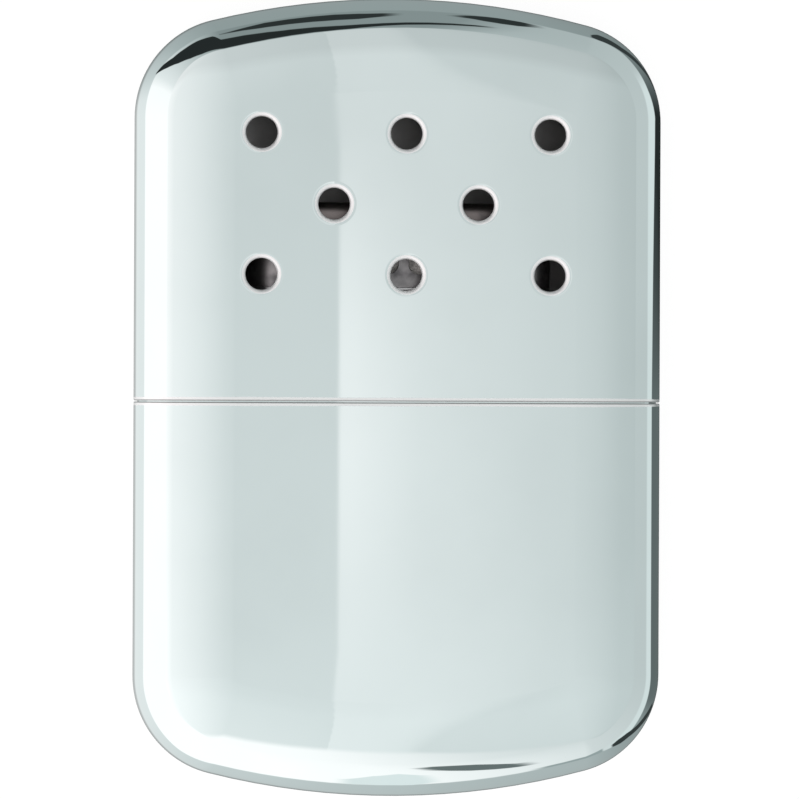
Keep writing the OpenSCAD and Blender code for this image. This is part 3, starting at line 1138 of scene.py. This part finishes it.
def paint_studio():
    """Paints the room on the world."""
    tree = Tree(bpy.context.scene.world)
    x, y, z = tree.axes("Generated")
    side = x.math("ARCTAN2", x, z) * DEGREES
    bearing = y.math("ARCTAN2", y, x) * DEGREES
    zenith = z.math("ARCCOSINE", z) * DEGREES
    height = z.math("MAXIMUM", z, LEAST_HEIGHT)
    across = x / height
    along = y / height

    left = across_ceiling(side, LEFT_CEILING)
    right = across_ceiling(side, RIGHT_CEILING)
    right = tree.mix(abs(along).rise(0, END_REACH), right, across_ceiling(side, END_CEILING))
    past_flat = along.math("MAXIMUM", abs(along), FLAT_REACH) - FLAT_REACH
    past_edge = across - (PANEL_EDGE - EDGE_DRIFT * past_flat / (1 + EDGE_EASE * past_flat))
    ceiling = tree.mix(past_edge.rise(-PANEL_BLUR, PANEL_BLUR), left, right)
    lift = along.ramp(ALONG[0][0], ALONG[-1][0], ALONG)
    ceiling = tree.add("VectorMath", {"operation": "SCALE"}, {0: ceiling, "Scale": lift})

    wall_top = angle_by_bearing(bearing, WALL_TOP)
    room = tree.mix((zenith - wall_top).rise(-WALL_BLUR, WALL_BLUR), ceiling, by_bearing(bearing, WALLS))
    light_line = zenith.rise(*LIGHT_LINE_TOP) * abs(bearing - LIGHT_LINE_BEARING).rise(*LIGHT_LINE_ENDS)
    room = tree.mix(light_line, room, LIGHT_LINE)
    under_rim = 1 - RIM_SHADE * zenith.rise(*RIM_SHADE_FROM)
    ground = by_bearing(bearing, GROUND)
    ground = tree.add("VectorMath", {"operation": "SCALE"}, {0: ground, "Scale": under_rim})
    horizon = angle_by_bearing(bearing, HORIZON)
    room = tree.mix((zenith - horizon).rise(-HORIZON_BLUR, HORIZON_BLUR), room, ground)
    for shade, stops in FLAGS.values():
        cool = shade * (1 + FLAG_COOLNESS * (1 - shade))
        room = tree.mix(flag_mask(bearing, zenith, stops), room, (shade, cool, cool, 1))

    camera_ray = tree.add("LightPath", {}, {}, "Is Camera Ray")
    seen = tree.mix(camera_ray, room, (1, 1, 1, 1))
    light = tree.add("Background", {}, {"Color": seen, "Strength": 1.0})
    tree.add("OutputWorld", {}, {"Surface": light})


if bpy.context.scene.world is None:
    bpy.context.scene.world = bpy.data.worlds.new("studio")
paint_studio()
print("studio nodes", len(bpy.context.scene.world.node_tree.nodes))

# %% [markdown]
# The floor is plain white and keeps a faint shadow: part of its white is its own, and the rest is
# light that the case can shade. Mirrors see the painted room below the horizon too, where its ground
# darkens under the rim, so they look through this floor.

# %% Floor
FLOOR_SIZE = 6
FLOOR_DROP = 0.02 * MM
FLOOR_GLOW = 0.86
FLOOR_TONE = 0.24

floor = add("plane", "floor", size=FLOOR_SIZE, location=(0, 0, -FLOOR_DROP))
tree = finish("floor_white")
white = tree.add("Emission", {}, {"Color": (1, 1, 1, 1), "Strength": FLOOR_GLOW})
matt = tree.add("BsdfDiffuse", {}, {"Color": (FLOOR_TONE, FLOOR_TONE, FLOOR_TONE, 1)})
lit = tree.add("AddShader", {}, {0: white, 1: matt})
tree.add("OutputMaterial", {}, {"Surface": lit})
wear(floor, "floor_white")
floor.visible_glossy = False
print("floor", floor.dimensions[:])

# %% [markdown]
# The camera looks nearly straight down, from 8.8 degrees to the left, which is what puts the middle
# vents to the right of the outline's middle. It is rolled by a quarter of a degree, as the case
# is in the photograph, and stands well back with a long lens, so the sides stay parallel.

# %% Camera
CAMERA_TILT = math.radians(8.8)
CAMERA_ROLL = math.radians(0.23)
CAMERA_REACH = 700 * MM
SENSOR_WIDTH = 36
FRAME_WIDTH = 99.3 * MM
AIM = Vector((0.18 * MM, -0.25 * MM, half_thick))

turned = Matrix.Rotation(-CAMERA_TILT, 3, "Y") @ Matrix.Rotation(CAMERA_ROLL, 3, "Z")
bpy.ops.object.camera_add(location=AIM + CAMERA_REACH * turned.col[2], rotation=turned.to_euler())
camera = bpy.context.object
camera.name = "camera"
camera.data.sensor_width = SENSOR_WIDTH
camera.data.lens = SENSOR_WIDTH * CAMERA_REACH / FRAME_WIDTH
camera.data.clip_start = 10 * MM
camera.data.clip_end = 20
bpy.context.scene.camera = camera
bpy.context.scene.view_settings.view_transform = "Standard"
print("lens", round(camera.data.lens, 1), "at", [round(v, 3) for v in camera.location])
